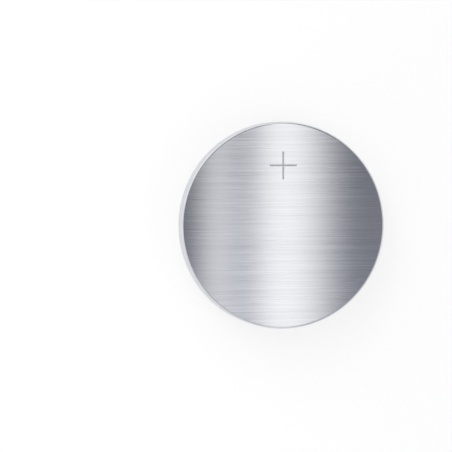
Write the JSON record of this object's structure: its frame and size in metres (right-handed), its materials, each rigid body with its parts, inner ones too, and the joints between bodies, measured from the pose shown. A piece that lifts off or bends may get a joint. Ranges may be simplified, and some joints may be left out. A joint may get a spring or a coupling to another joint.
{
  "type": "lithium coin cell",
  "caption": "Round lithium coin cell: a shallow brushed steel can, marked with a plus, rolled over a black gasket onto a raised negative cap.",
  "frame": {"origin": "centre of the negative contact face, at the bottom of the resting cell", "axes": "+Z along the cell's axis to the positive face; +Y from the middle of the face to the plus mark; +X to the right as the mark is seen upright"},
  "size_m": [0.02, 0.02, 0.0025],
  "materials": {
    "can_steel": "finely brushed in straight lines across the face, satin on the wall",
    "cap_steel": "satin nickel-plated steel, embossed with small dots",
    "gasket_plastic": "satin black polypropylene",
    "lithium_metal": "dull silver foil",
    "separator_felt": "white non-woven felt",
    "cathode_powder": "matt pressed black powder",
    "ring_steel": "bright rolled steel"
  },
  "bodies": {
    "root": {"positive_can": "can_steel", "gasket": "gasket_plastic", "negative_cap": "cap_steel", "lithium_disc": "lithium_metal", "separator": "separator_felt", "cathode_pellet": "cathode_powder", "cathode_ring": "ring_steel"}
  },
  "joints": []
}
